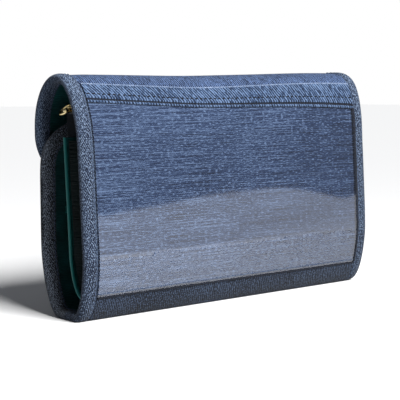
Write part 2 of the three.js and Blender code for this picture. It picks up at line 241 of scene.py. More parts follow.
def softShape(x, y, z):
    right = smoothStep(x, softness["rightStart"] * halfLength, halfLength)
    left = smoothStep(-x, 0, halfLength)
    if z > crownCentre[1] and y < crownCentre[0]:
        p, q = (y - crownCentre[0]) / crownRadii[0], (z - crownCentre[1]) / crownRadii[1]
        scale = cornerScale(p, q, 2 + softness["crownFullness"] * right)
        y = crownCentre[0] + p * crownRadii[0] * scale
        z = crownCentre[1] + q * crownRadii[1] * scale
    if z < toeCentre[1] and y > toeCentre[0]:
        p, q = (y - toeCentre[0]) / toeRadii[0], (z - toeCentre[1]) / toeRadii[1]
        scale = cornerScale(p, q, 2 - softness["toeRoundness"] * left)
        y = toeCentre[0] + p * toeRadii[0] * scale
        z = toeCentre[1] + q * toeRadii[1] * scale
    lowLift, highLift = softness["topLift"]
    topShare = smoothStep(z, *softness["liftHeights"])
    z += (lowLift + (highLift - lowLift) * right) * topShare
    waist = smoothStep(z, *softness["bulgeHeights"]) * (1 - topShare)
    if y < 0:
        y -= softness["rightBulge"] * right * waist
    x += softness["rightReach"] * smoothStep(x, softness["reachStart"] * halfLength, halfLength)
    return Vector((x, y, z))


def markAtHeight(z, start, end):
    # how far along the shell, between start and end, it is at this height
    rising = shell.at(start)[1] < shell.at(end)[1]
    for _ in range(30):
        middle = (start + end) / 2
        if (shell.at(middle)[1] < z) == rising:
            start = middle
        else:
            end = middle
    return start


def wallPoint(x, along, out):
    # a point at a distance along the shell, a distance out from the middle of the wall
    y, z, outY, outZ = shell.at(along)
    return softShape(x, y + outY * out, z + outZ * out)


print("frame read, shell", round(shell.length / mm), "mm round")

# materials

def addNode(tree, kind, inputs, **settings):
    node = tree.nodes.new(kind)
    for name, value in settings.items():
        setattr(node, name, value)
    for key, value in inputs.items():
        if isinstance(value, bpy.types.NodeSocket):
            tree.links.new(value, node.inputs[key])
        else:
            node.inputs[key].default_value = value
    return node


def newMaterial(name):
    material = bpy.data.materials.new(name)
    material.use_nodes = True
    tree = material.node_tree
    shader = tree.nodes["Principled BSDF"]
    return material, tree, shader


def addBump(tree, shader, height, strength, depth):
    # depth in mm
    bump = addNode(tree, "ShaderNodeBump", {
        "Height": height, "Strength": strength, "Distance": depth * mm,
    })
    tree.links.new(bump.outputs[0], shader.inputs["Normal"])


def tune(shader, values):
    for name, value in values.items():
        shader.inputs[name].default_value = value


def mixColour(tree, factor, first, second):
    return addNode(tree, "ShaderNodeMix", {0: factor, 6: first, 7: second},
                   data_type="RGBA").outputs[2]


def clothPoint(tree, scale, turn=0.0):
    # cloth lies on the UV map in metres, x along the case and y round it
    uvMap = addNode(tree, "ShaderNodeUVMap", {}, uv_map="cloth")
    mapping = addNode(tree, "ShaderNodeMapping", {
        "Vector": uvMap.outputs[0],
        "Rotation": (0, 0, math.radians(turn)),
    })
    return addNode(tree, "ShaderNodeVectorMath", {0: mapping.outputs[0], 1: scale},
                   operation="MULTIPLY").outputs[0]


def stretchedNoise(tree, cell, turn=0.0, detail=2.0):
    # cell is the size of one grain in mm, along and across the thread
    scale = (1 / (cell[0] * mm), 1 / (cell[1] * mm), 1)
    return addNode(tree, "ShaderNodeTexNoise", {
        "Vector": clothPoint(tree, scale, turn), "Scale": 1.0, "Detail": detail, "Roughness": 0.55,
    }, noise_dimensions="2D").outputs["Fac"]


def remap(tree, value, lowIn, highIn, lowOut=0.0, highOut=1.0):
    return addNode(tree, "ShaderNodeMapRange", {
        "Value": value, "From Min": lowIn, "From Max": highIn, "To Min": lowOut, "To Max": highOut,
    }).outputs[0]


def weigh(tree, parts):
    # adds up patterns, each with its weight, round a middle value
    total = 0.5
    for pattern, middle, weight in parts:
        centred = addNode(tree, "ShaderNodeMath", {0: pattern, 1: middle}, operation="SUBTRACT")
        total = addNode(tree, "ShaderNodeMath", {0: centred.outputs[0], 1: weight, 2: total},
                        operation="MULTIPLY_ADD").outputs[0]
    return total


def threeTone(tree, value, dark, middle, pale):
    lower = mixColour(tree, remap(tree, value, 0.0, 0.5), hexColour(dark), hexColour(middle))
    return mixColour(tree, remap(tree, value, 0.5, 1.0), lower, hexColour(pale))


# Denim: indigo warp over a pale weft, woven as twill and stone washed. The pale weft shows
# as flecks, the wash as cloudy patches. A real thread is 0.45 mm. It is drawn 0.6 to 0.9 mm
# wide, because finer threads can't show.
denimLook = {
    "washCell": (40, 22),        # mm
    "threadCell": (0.9, 0.7),
    "fleckRange": (0.6, 0.74),
    "slopeMiddle": 60 * mm,       # below the top fold
    "bump": 0.45,
    "roughness": 0.9,
    "sheen": 0.06,
    "gloss": 0.22,
}


def makeDenim(name, colours, weave):
    material, tree, shader = newMaterial(name)
    length, width = weave["streak"]
    wash = stretchedNoise(tree, denimLook["washCell"], detail=3)
    slub = stretchedNoise(tree, weave["streak"], weave["turn"], detail=1)
    yarn = stretchedNoise(tree, (length * weave["yarn"], width * 0.9), weave["turn"], detail=0)
    fleck = stretchedNoise(tree, weave["fleck"], weave["turn"], detail=0)
    thread = stretchedNoise(tree, denimLook["threadCell"], weave["twillTurn"], detail=1)
    rib = weave["rib"] * mm
    twill = addNode(tree, "ShaderNodeTexWave", {
        "Vector": clothPoint(tree, (1 / rib, 1 / rib, 1), weave["twillTurn"]),
        "Scale": 0.31, "Distortion": 2.2, "Detail": 2.0, "Detail Scale": 1.2,
    }, wave_type="BANDS", bands_direction="X").outputs["Fac"]
    spark = remap(tree, fleck, *denimLook["fleckRange"])
    # the tone slope darkens the colour in a straight line over the cloth; on the back tapes it is painted shade
    toneSlope = addNode(tree, "ShaderNodeSeparateXYZ", {0: clothPoint(tree, (1, 1, 1))})
    value = weigh(tree, [
        (wash, 0.5, weave["washWeight"]), (slub, 0.5, weave["streakWeight"]),
        (twill, 0.5, weave["ribWeight"]), (thread, 0.5, weave["threadWeight"]),
        (yarn, 0.5, weave["yarnWeight"]), (spark, 0.08, weave["fleckWeight"]),
        (toneSlope.outputs["X"], 0.0, weave["toneSlope"][0]),
        (toneSlope.outputs["Y"], marks["topFold"] + denimLook["slopeMiddle"], weave["toneSlope"][1]),
    ])
    tree.links.new(threeTone(tree, value, *colours), shader.inputs["Base Color"])
    relief = weigh(tree, [(slub, 0.5, 0.8), (twill, 0.5, 0.7), (thread, 0.5, 1.0)])
    addBump(tree, shader, relief, denimLook["bump"], weave["relief"])
    tune(shader, {"Roughness": denimLook["roughness"], "Sheen Weight": denimLook["sheen"],
                  "Specular IOR Level": denimLook["gloss"]})
    return material


# sizes in mm along and across the thread, turns in degrees, tone slope as change a metre across x and down y; on
# the panel it makes the cloth darker towards the right end and lower down
weaves = {
    "panel": {"streak": (15, 0.6), "fleck": (2.8, 0.55), "turn": 0, "twillTurn": 32, "rib": 1.2,
              "ribWeight": 0.12, "washWeight": 0.3, "yarn": 5, "yarnWeight": 0.8,
              "threadWeight": 0.45, "streakWeight": 0.75, "fleckWeight": 0.5, "relief": 0.1,
              "toneSlope": (-0.85, -0.8)},
    "band": {"streak": (0.9, 6), "fleck": (0.8, 1.8), "turn": 4, "twillTurn": 4, "rib": 1.6,
             "ribWeight": 1.1, "washWeight": 0.5, "yarn": 2, "yarnWeight": 0.6,
             "threadWeight": 1.0, "streakWeight": 0.8, "fleckWeight": 0.5, "relief": 0.3,
             "toneSlope": (0, 0)},
    "border": {"streak": (0.9, 5), "fleck": (0.8, 2.2), "turn": 34, "twillTurn": 34, "rib": 1.8,
               "ribWeight": 0.9, "washWeight": 0.6, "yarn": 2, "yarnWeight": 0.8,
               "threadWeight": 0.9, "streakWeight": 1.0, "fleckWeight": 0.5, "relief": 0.3,
               "toneSlope": (0, 0)},
    "tape": {"streak": (1.5, 0.6), "fleck": (1.1, 0.55), "turn": 24, "twillTurn": -66, "rib": 1.1,
             "ribWeight": 0.7, "washWeight": 0.5, "yarn": 1.5, "yarnWeight": 0.2,
             "threadWeight": 1.2, "streakWeight": 1.1, "fleckWeight": 1.1, "relief": 0.4,
             "toneSlope": (0, 0)},
    "base": {"streak": (1.6, 0.8), "fleck": (1.3, 0.75), "turn": 28, "twillTurn": 28, "rib": 1.5,
             "ribWeight": 0.5, "washWeight": 0.6, "yarn": 3, "yarnWeight": 0.4,
             "threadWeight": 1.3, "streakWeight": 1.1, "fleckWeight": 0.8, "relief": 0.3,
             "toneSlope": (0, 0)},
}
tapeTones = ("#060d19", "#1b283e", "#647389")
panelDenim = makeDenim("washedDenimTwill", ("#0a1223", "#20304c", "#5b6d88"), weaves["panel"])
bandDenim = makeDenim("ribbedDenimBand", ("#060e1e", "#182844", "#506488"), weaves["band"])
borderDenim = makeDenim("twillDenimBorder", ("#0a1528", "#1e304b", "#566a88"), weaves["border"])
tapeDenim = makeDenim("biasDenimTape", tapeTones, weaves["tape"])
# painted shade: the back tapes darken along their length towards the base, where less light falls from above
baseShadedTapeDenim = makeDenim("biasDenimTapeShadedTowardsBase", tapeTones, {**weaves["tape"], "toneSlope": (-1.7, 0)})
# a darker dye than the other tape, made darker still as painted shade for the front edge's left end, which faces
# away from the light
darkDyeAndShadeTapeDenim = makeDenim("darkTapeDenimWithPaintedShade", ("#020408", "#090d16", "#68717f"), weaves["tape"])
baseDenimAndShadowStrip = makeDenim("rawDenimTwillAndShadowStrip", ("#03060e", "#09111f", "#3a475c"), weaves["base"])
threadWeave = {**weaves["tape"], "rib": 0.5, "fleckWeight": 0.0, "relief": 0.1}
stitchPale = makeDenim("spunPolyesterThread", ("#39475f", "#566681", "#8794ab"), threadWeave)
# dark thread for the topstitches and the sill piping; the same dark makes the strips of painted shadow at the slit
# and down the right side of the window
darkThreadAndShadow = makeDenim("indigoThreadAndPaintedShadow", ("#04060c", "#0a0e18", "#1a2233"), threadWeave)


# Satin: filament polyester with long floats, so it is smooth one way and shines in bands.
def makeSatin(name, deep, bright, shine=0.4):
    material, tree, shader = newMaterial(name)
    cloud = stretchedNoise(tree, (26, 18), detail=3)
    longFloat = stretchedNoise(tree, (6, 0.8), detail=1)
    tone = mixColour(tree, remap(tree, cloud, 0.3, 0.7), hexColour(deep), hexColour(bright))
    tree.links.new(mixColour(tree, remap(tree, longFloat, 0.4, 0.7, 0, 0.35), tone, hexColour(deep)),
                   shader.inputs["Base Color"])
    crease = stretchedNoise(tree, (14, 9), turn=20, detail=4)
    height = addNode(tree, "ShaderNodeMath", {0: crease, 1: longFloat}, operation="ADD").outputs[0]
    addBump(tree, shader, height, 0.55, 0.7)
    tune(shader, {"Roughness": 0.42, "Sheen Weight": 0.03, "Anisotropic": 0.5,
                  "Specular IOR Level": shine})
    return material


liningSatin = makeSatin("tealSatinLining", "#03282a", "#0a484a")
# painted shade: the gussets are the pouch's teal satin darkened to near black for the deep fold they sit in, with
# little gloss
shadedGussetSatin = makeSatin("tealSatinGussetPaintedShade", "#010b0c", "#031517", 0.1)
pouchSatin = makeSatin("tealSatinPouch", "#053436", "#0b5353")
# a paler teal than the pouch: on the pouch's end piping it is a painted highlight along the rounded edge; the
# pocket hem and the ring roll bands use it as trim colour
paleTrimHighlightSatin = makeSatin("paleTealSatinTrimHighlight", "#0d5c5c", "#157a77")


def makePlain(name, first, second, cell, roughness, metallic=0.0, depth=0.1, sheen=0.0):
    material, tree, shader = newMaterial(name)
    place = addNode(tree, "ShaderNodeTexCoord", {}).outputs["Object"]
    grain = addNode(tree, "ShaderNodeTexNoise", {
        "Vector": place, "Scale": 1 / (cell * mm), "Detail": 3.0,
    }).outputs["Fac"]
    tone = mixColour(tree, remap(tree, grain, 0.35, 0.65), hexColour(first), hexColour(second))
    tree.links.new(tone, shader.inputs["Base Color"])
    addBump(tree, shader, grain, 0.4, depth)
    tree.links.new(remap(tree, grain, 0.3, 0.7, roughness * 0.85, min(roughness * 1.15, 1)),
                   shader.inputs["Roughness"])
    tune(shader, {"Metallic": metallic, "Sheen Weight": sheen})
    return material


goldPlate = makePlain("polishedGoldPlatedZinc", "#b09a66", "#cfbf92", 4, 0.22, 1.0, 0.02)
magnetSteel = makePlain("nickelPlatedMagnet", "#9b9ca0", "#b5b6ba", 3, 0.3, 1.0, 0.02)
greyBoard = makePlain("greyChipboard", "#a2957a", "#b9ad92", 1.2, 0.9, 0, 0.1)
zipWoven = makePlain("wovenPolyesterZipTape", "#0d141c", "#1a2530", 0.9, 0.8, 0, 0.15, 0.2)
tealVelvet = makePlain("cottonVelvetPile", "#0b5457", "#157174", 0.8, 0.95, 0, 0.2, 0.9)


# Clear PVC: it lets the cloth show through and mirrors what is in front. The mirrored share
# is set by the angle, on its outer face only, because one sheet of air lies behind it.
def makeVinyl():
    material, tree, shader = newMaterial("clearSoftPVC")
    place = addNode(tree, "ShaderNodeTexCoord", {}).outputs["Object"]
    ripple = addNode(tree, "ShaderNodeTexNoise", {"Vector": place, "Scale": 9.0, "Detail": 1.0})
    addBump(tree, shader, ripple.outputs["Fac"], 1.0, 0.12)
    tune(shader, {"Base Color": hexColour("#f4f6fa"), "Metallic": 1.0, "Roughness": 0.035})
    clear = addNode(tree, "ShaderNodeBsdfTransparent", {"Color": hexColour("#fafbfd")})
    fresnel = addNode(tree, "ShaderNodeFresnel", {"IOR": vinylLook["ior"]})
    inside = addNode(tree, "ShaderNodeNewGeometry", {}).outputs["Backfacing"]
    outside = addNode(tree, "ShaderNodeMath", {0: 1.0, 1: inside}, operation="SUBTRACT").outputs[0]
    share = addNode(tree, "ShaderNodeMath", {0: fresnel.outputs[0], 1: outside}, operation="MULTIPLY")
    mixed = addNode(tree, "ShaderNodeMixShader", {
        0: share.outputs[0], 1: clear.outputs[0], 2: shader.outputs[0],
    })
    tree.links.new(mixed.outputs[0], tree.nodes["Material Output"].inputs["Surface"])
    return material


vinylLook = {"ior": 2.12}
clearVinyl = makeVinyl()
print("materials made")

# mesh helpers

def gridMesh(columns, rows, place):
    # place(u, v) gives a point and its cloth position, u and v from 0 to 1
    bm = bmesh.new()
    bmesh.ops.create_grid(bm, x_segments=columns, y_segments=rows, size=1)
    cloth = bm.loops.layers.uv.new("cloth")
    flat = {}
    for vert in bm.verts:
        u, v = (vert.co.x + 1) / 2, (vert.co.y + 1) / 2
        vert.co, flat[vert] = place(min(max(u, 0), 1), min(max(v, 0), 1))
    for face in bm.faces:
        for loop in face.loops:
            loop[cloth].uv = flat[loop.vert]
    return bm


def thicken(bm, thickness):
    bmesh.ops.solidify(bm, geom=list(bm.faces), thickness=thickness)
    bmesh.ops.recalc_face_normals(bm, faces=list(bm.faces))


def makePiece(name, bm, material, replaced=()):
    if not bm.loops.layers.uv:
        bm.loops.layers.uv.new("cloth")
    mesh = bpy.data.meshes.new(name)
    bm.to_mesh(mesh)
    bm.free()
    mesh.materials.append(material)
    mesh.shade_smooth()
    mesh.set_sharp_from_angle(angle=math.radians(50))
    piece = bpy.data.objects.new(name, mesh)
    bpy.context.scene.collection.objects.link(piece)
    if replaced:
        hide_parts(*replaced)
    return piece


def foldDirection(mark):
    # along the shell, from the flap towards the front
    outY, outZ = shell.at(mark)[2:]
    return Vector((0, -outZ, outY))


def bendTop(piece):
    # bakes the piece's placement into its mesh; the way at the top fold is worked out but not used
    way = foldDirection(marks["topFold"])
    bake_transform(piece)


def bendFlap(piece):
    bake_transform(piece)


def bendFront(piece):
    way = foldDirection(marks["frontFold"])
    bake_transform(piece)


def roundedHalf(along, edgeMark, radius, inset):
    # half the width of a panel with round corners, this far along the shell
    past = radius - inset - (abs(along - edgeMark) - inset)
    full = halfLength - inset
    if past <= 0:
        return full
    corner = radius - inset
    return full - corner + math.sqrt(max(corner * corner - past * past, 0.0))


def coverHalf(along, inset):
    if along < marks["flapFold"]:
        return roundedHalf(along, marks["tip"], wall["flapCorner"], inset)
    if along > marks["frontFold"]:
        return roundedHalf(along, marks["top"], wall["frontCorner"], inset)
    return halfLength - inset


def puff(x, along, height, seed):
    # soft hand-made unevenness of filled cloth
    spot = Vector((x * 18, along * 26, seed))
    return height * noise.noise(spot)


def wallSheet(span, inset, out, thickness, columns, rows, swell=0.0, rough=0.0, seed=0.0):
    start, end = span

    def place(u, v):
        along = start + (end - start) * v
        half = coverHalf(along, inset)
        x = (1 - 2 * u) * half
        edge = smoothStep(1 - abs(2 * u - 1), 0, 0.16)
        lift = out + swell * edge + puff(x, along, rough, seed) * edge
        return wallPoint(x, along, lift), (x, along)

    bm = gridMesh(columns, rows, place)
    thicken(bm, thickness)
    return bm


# covers: denim outside, satin inside
coverLook = {
    "inset": 2.4 * mm,
    "thickness": 0.8 * mm,
    "columns": 96,
    "swell": 0.5 * mm,
    "roughness": 0.25 * mm,
    "liningRoughness": 0.35 * mm,
    "tipInset": 2 * mm,
    "rowLength": 2.2 * mm,
}


def rowsFor(span):
    return max(4, round(abs(span[1] - span[0]) / coverLook["rowLength"]))


def makeWallPiece(name, span, material, replaced, seed):
    inside = material is liningSatin
    out = -wall["wallHalf"] + coverLook["thickness"] if inside else wall["wallHalf"]
    bm = wallSheet(
        span, coverLook["inset"], out, coverLook["thickness"], coverLook["columns"], rowsFor(span),
        0 if inside else coverLook["swell"],
        coverLook["liningRoughness"] if inside else coverLook["roughness"], seed,
    )
    return makePiece(name, bm, material, replaced)


topSpan = (marks["tip"] + coverLook["tipInset"], marks["seam"])
backSpan = (marks["seam"], marks["base"])
frontSpan = (marks["base"], marks["top"] - coverLook["tipInset"])
covers = [
    ("backCoverDenim", backSpan, panelDenim, ["back_cover"], bendTop),
    ("topBandFlapDenim", topSpan, bandDenim, ["spine_cover", "flap_cover"], bendFlap),
    ("frontCoverDenim", frontSpan, baseDenimAndShadowStrip, ["front_cover"], bendFront),
    ("backLiningSatin", backSpan, liningSatin, ["back_lining"], bendTop),
    ("topFlapLiningSatin", topSpan, liningSatin, ["spine_lining", "flap_lining"], bendFlap),
    ("frontLiningSatin", frontSpan, liningSatin, ["front_lining"], bendFront),
]
for seed, (name, span, material, replaced, bend) in enumerate(covers, 1):
    bend(makeWallPiece(name, span, material, replaced, seed))
print("covers and linings made")

# binding tape folded over the raw edges
tapeLook = {
    "thickness": 0.5 * mm,
    "section": [(9.6, 2.1), (8.9, 2.05), (7.6, 2.4), (5.2, 2.62), (3.0, 2.5), (1.3, 2.05),
                (0.25, 1.15), (0.0, 0.0), (0.25, -1.15), (1.3, -2.05), (3.0, -2.45), (5.2, -2.5),
                (7.6, -2.35), (8.9, -2.05), (9.6, -2.1)],
    "columns": 36,
    "unrolled": 26 * mm,
    "step": 2.0 * mm,
    "roughness": 0.22 * mm,
    "stitchInset": 8.2 * mm,
    "stitchOut": 2.5 * mm,
}


def smoothCurve(points, share):
    # Catmull-Rom through a short list of points
    place = share * (len(points) - 1)
    index = min(int(place), len(points) - 2)
    t = place - index
    before = Vector(points[max(index - 1, 0)])
    first, second = Vector(points[index]), Vector(points[index + 1])
    after = Vector(points[min(index + 2, len(points) - 1)])
    return 0.5 * ((2 * first) + (second - before) * t
                  + (2 * before - 5 * first + 4 * second - after) * t * t
                  + (3 * first - before - 3 * second + after) * t ** 3)


def straightEdge(start, end, side):
    # edge points as (x, along, inward x, inward along)
    steps = max(2, round(abs(end - start) / tapeLook["step"]))
    return [(side * halfLength, start + (end - start) * i / steps, -side, 0.0)
            for i in range(steps + 1)]


def cornerEdge(edgeMark, radius, side, way):
    # way is +1 where the edge lies further along the shell, -1 where it lies nearer
    corner = []
    steps = round(radius * math.pi / 2 / tapeLook["step"])
    for i in range(steps + 1):
        angle = math.pi / 2 * i / steps
        outX, outAlong = side * math.cos(angle), way * math.sin(angle)
        centreX = side * (halfLength - radius)
        centreAlong = edgeMark - way * radius
        corner.append((centreX + outX * radius, centreAlong + outAlong * radius, -outX, -outAlong))
    return corner


def freeEdge(foldMark, edgeMark, radius, way):
    # down one end, round the corner, along the free edge and back up the other end
    side = straightEdge(foldMark, edgeMark - way * radius, -1)[:-1]
    side += cornerEdge(edgeMark, radius, -1, way)
    across = halfLength - radius
    steps = round(2 * across / tapeLook["step"])
    middle = [(-across + 2 * across * i / steps, edgeMark, 0.0, -way) for i in range(1, steps)]
    other = [(-x, along, -inX, inAlong) for x, along, inX, inAlong in reversed(side)]
    return side + middle + other


def makeTape(name, edge, replaced, seed, turned, material=tapeDenim):
    lengths = [0.0]
    for before, after in zip(edge, edge[1:]):
        lengths.append(lengths[-1] + math.dist(before[:2], after[:2]))

    def place(u, v):
        index = min(round(v * (len(edge) - 1)), len(edge) - 1)
        x, along, inX, inAlong = edge[index]
        inset, out = (value * mm for value in smoothCurve(tapeLook["section"], u))
        ripple = puff(lengths[index] * 1.6, u * 0.03, tapeLook["roughness"], seed)
        out += math.copysign(ripple * smoothStep(inset, 0, 4 * mm), out)
        point = wallPoint(x + inX * inset, along + inAlong * inset, out)
        return point, (lengths[index], u * tapeLook["unrolled"])

    bm = gridMesh(tapeLook["columns"], len(edge) - 1, place)
    if turned:
        bmesh.ops.reverse_faces(bm, faces=list(bm.faces))
    thicken(bm, tapeLook["thickness"])
    return makePiece(name, bm, material, replaced)


sides = {"Left": -1, "Right": 1}
for sideName, side in sides.items():
    edge = straightEdge(marks["seam"], marks["base"], side)
    bendTop(makeTape("backTape" + sideName, edge, ["back_binding_" + sideName.lower()], 10 + side,
                     side > 0, baseShadedTapeDenim))
flapEdge = freeEdge(marks["seam"], marks["tip"], wall["flapCorner"], -1)
bendFlap(makeTape("topFlapTape", flapEdge,
                  ["spine_binding_left", "spine_binding_right", "flap_binding"], 13, True))
frontEdge = freeEdge(marks["base"], marks["top"], wall["frontCorner"], 1)
bendFront(makeTape("baseFrontTape", frontEdge, ["front_binding"], 14, False, darkDyeAndShadeTapeDenim))
print("binding tape made")

# window on the back; its seams run a little lower towards the right end
windowLook = {
    "half": 114.0 * mm,
    "vinylThickness": 0.4 * mm,
    "vinylOut": 2.75 * mm,
    "vinylWave": 0.5 * mm,
    "borderThickness": 0.7 * mm,
    "borderOut": 3.1 * mm,
    "tailOut": 2.35 * mm,
    "bandOut": 2.5 * mm,
    "bandThickness": 0.5 * mm,
    "clothWave": 0.1 * mm,
    "slitGap": 0.9 * mm,
    "seamSlant": (0.0, 8.3 * mm),
    "slitSlant": (-2.8 * mm, 8.0 * mm),
    "rimShare": 0.12,         # the waves fade out over this share at each edge
    "waveGrain": (9, 7),
    "swell": 0.15,            # a broad wave on top of the small ones
    "swellDip": 1.7,
    "dipSpan": (0.2, 1.1),
}


def slanted(mark, slant):
    # a line across the window that lies at mark plus its slant, left end and right end
    def at(x):
        share = min(max((x / windowLook["half"] + 1) / 2, 0), 1)
        return mark + slant[0] + (slant[1] - slant[0]) * share
    return at


def level(mark):
    return slanted(mark, (0, 0))


def windowSheet(startAt, endAt, half, out, thickness, wave, rows, columns=90):
    def place(u, v):
        x = (1 - 2 * u) * half
        start, end = startAt(x), endAt(x)
        along = start + (end - start) * v
        rim = smoothStep(min(1 - abs(2 * u - 1), 1 - abs(2 * v - 1)), 0, windowLook["rimShare"])
        grainX, grainAlong = windowLook["waveGrain"]
        ripple = wave * rim * noise.noise(Vector((x * grainX + 5, along * grainAlong, 31)))
        dip = windowLook["swellDip"]
        dipStart, dipEnd = windowLook["dipSpan"]
        lean = math.cos(0.5 * math.pi * x / half)
        lean -= dip * smoothStep(x, dipStart * half, dipEnd * half)
        ripple += windowLook["swell"] * wave * rim * (dip + lean * math.sin(2 * math.pi * v))
        return wallPoint(x, along, out + ripple), (x, along)

    bm = gridMesh(columns, rows, place)
    thicken(bm, thickness)
    return bm


seamAt = slanted(marks["seam"], windowLook["seamSlant"])
slitAt = slanted(marks["slit"], windowLook["slitSlant"])
vinylTopAt = slanted(marks["slit"] + windowLook["slitGap"], windowLook["slitSlant"])
borderEndAt = slanted(marks["slit"] - windowLook["slitGap"], windowLook["slitSlant"])
vinyl = makePiece("windowVinylClear", windowSheet(
    vinylTopAt, level(marks["windowEnd"]), windowLook["half"],
    windowLook["vinylOut"] + windowLook["vinylThickness"],
    windowLook["vinylThickness"], windowLook["vinylWave"], 70,
), clearVinyl, ["window_vinyl"])
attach(vinyl, "back")
border = makePiece("windowBorderDenim", windowSheet(
    seamAt, borderEndAt, windowLook["half"], windowLook["borderOut"],
    windowLook["borderThickness"], windowLook["clothWave"], 10,
), borderDenim, ["window_top_border"])
bendTop(border)
# the tail of the top band, down to its seam with the border
tail = makePiece("topBandTail", windowSheet(
    level(marks["seam"] - 0.2 * mm), slanted(marks["seam"] + 1.5 * mm, windowLook["seamSlant"]),
    windowLook["half"], windowLook["tailOut"], windowLook["bandThickness"], 0, 8,
), bandDenim)
bendTop(tail)
baseBand = makePiece("baseBandDenim", windowSheet(
    level(marks["windowEnd"] + 0.6 * mm), level(marks["base"]), windowLook["half"] + 0.4 * mm,
    windowLook["bandOut"], windowLook["bandThickness"], windowLook["clothWave"], 16,
), baseDenimAndShadowStrip)
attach(baseBand, "back")
print("window made")

# stitches, each a short raised stretch of thread
stitchLook = {
    "length": 2.3 * mm,
    "pitch": 3.1 * mm,
    "radius": 0.34 * mm,
    "sides": 6,
    "rings": 4,
}


def addStitch(bm, centre, way, up, look):
    across = way.cross(up).normalized()
    lift = across.cross(way).normalized()
    turn = Matrix((across, lift, way)).transposed().to_4x4()
    shape = Matrix.Diagonal((look["radius"], look["radius"] * 0.8, look["length"] / 2, 1))
    bmesh.ops.create_uvsphere(
        bm, u_segments=look["sides"], v_segments=look["rings"], radius=1,
        matrix=Matrix.Translation(centre) @ turn @ shape,
    )


def sewLine(name, points, out, material, look=stitchLook):
    # points are (x, along); the stitches lie this far out from the middle of the wall
    bm = bmesh.new()
    line = Track([tuple(point) for point in points])
    count = max(1, round(line.length / look["pitch"]))
    for index in range(count):
        centre = (index + 0.5) * line.length / count
        half = look["length"] / 2
        start, end = line.at(centre - half), line.at(centre + half)
        first, last = wallPoint(start[0], start[1], out), wallPoint(end[0], end[1], out)
        middle = line.at(centre)
        seat = wallPoint(middle[0], middle[1], out)
        up = seat - wallPoint(middle[0], middle[1], out * 0.5)
        addStitch(bm, seat, (last - first).normalized(), up.normalized(), look)
    return makePiece(name, bm, material)


def insetEdge(edge, inset):
    return [(x + inX * inset, along + inAlong * inset) for x, along, inX, inAlong in edge]


for sideName, side in sides.items():
    edge = insetEdge(straightEdge(marks["seam"], marks["base"], side), tapeLook["stitchInset"])
    bendTop(sewLine("backTapeStitches" + sideName, edge, 2.55 * mm, stitchPale))
for name, edge, bend in (("flapTapeStitches", flapEdge, bendFlap),
                         ("frontTapeStitches", frontEdge, bendFront)):
    outside = insetEdge(edge, tapeLook["stitchInset"])
    bend(sewLine(name + "Outer", outside, tapeLook["stitchOut"], stitchPale))
    bend(sewLine(name + "Inner", outside, -tapeLook["stitchOut"], stitchPale))
seamLook = {**stitchLook, "length": 1.1 * mm, "pitch": 1.5 * mm, "radius": 0.42 * mm}
windowEnds = (-windowLook["half"], windowLook["half"])
slipStitchAt = slanted(marks["slit"] - 3.0 * mm, (-2.6 * mm, 7.2 * mm))
bendTop(sewLine("crownSeamStitches", [(x, seamAt(x)) for x in windowEnds], 3.0 * mm, stitchPale,
                seamLook))
slipLook = {**stitchLook, "length": 2.6 * mm, "pitch": 3.8 * mm, "radius": 0.5 * mm}
bendTop(sewLine("borderTopstitches", [(x, slipStitchAt(x)) for x in windowEnds], 3.15 * mm,
                darkThreadAndShadow, slipLook))
sillMark = marks["windowEnd"] - 1.7 * mm
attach(sewLine("windowSillStitches", [(x, sillMark) for x in windowEnds], 3.25 * mm, stitchPale,
                seamLook), "back")


# narrow edging along the window: width, distance out and height of each; the slip shadow tape and the two side
# strips are dark strips of painted shadow where the slit and the binding tape cast shade
trimLook = {
    "thickness": 0.25 * mm,
    "crownSeamPiping": (1.0 * mm, 3.0 * mm, 0.45 * mm),
    "slipEdgeDenim": (1.3 * mm, 3.1 * mm, 0.5 * mm),
    "slipShadowTape": (1.9 * mm, 2.5 * mm, 0.1 * mm),
    "sillPiping": (1.8 * mm, 2.7 * mm, 0.7 * mm),
    "sideShadowStripLeft": (0.7 * mm, 2.7 * mm, 0.3 * mm),
    "sideShadowStripRight": (2.3 * mm, 3.1 * mm, 0.35 * mm),
}


def addTrim(name, markAt, material, bend=None):
    width, out, height = trimLook[name]

    def place(u, v):
        x = (1 - 2 * u) * windowLook["half"]
        along = markAt(x) + width * (v - 0.5)
        return wallPoint(x, along, out + height * math.sin(math.pi * v)), (x, along)

    bm = gridMesh(80, 6, place)
    thicken(bm, trimLook["thickness"])
    trim = makePiece(name, bm, material)
    if bend:
        bend(trim)
    else:
        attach(trim, "back")


def addSideTrim(name, x, material):
    width, out, height = trimLook[name]
    start, end = slitAt(x), marks["windowEnd"]

    def place(u, v):
        along = start + (end - start) * v
        point = wallPoint(x + width * (0.5 - u), along, out + height * math.sin(math.pi * u))
        return point, (x, along)

    bm = gridMesh(6, 80, place)
    thicken(bm, trimLook["thickness"])
    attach(makePiece(name, bm, material), "back")


addTrim("crownSeamPiping", seamAt, stitchPale, bendTop)
addTrim("slipEdgeDenim", slanted(marks["slit"] + 1.6 * mm, windowLook["slitSlant"]), borderDenim)
addTrim("slipShadowTape", slitAt, darkThreadAndShadow)
addTrim("sillPiping", level(marks["windowEnd"] + 0.5 * mm), darkThreadAndShadow)
# painted shadow: dark strips down both sides of the window, where the binding tape stands proud of it; the left
# one uses the base denim
addSideTrim("sideShadowStripLeft", -windowLook["half"] - 0.1 * mm, baseDenimAndShadowStrip)
addSideTrim("sideShadowStripRight", windowLook["half"] - 0.5 * mm, darkThreadAndShadow)
print("stitches and edging made")

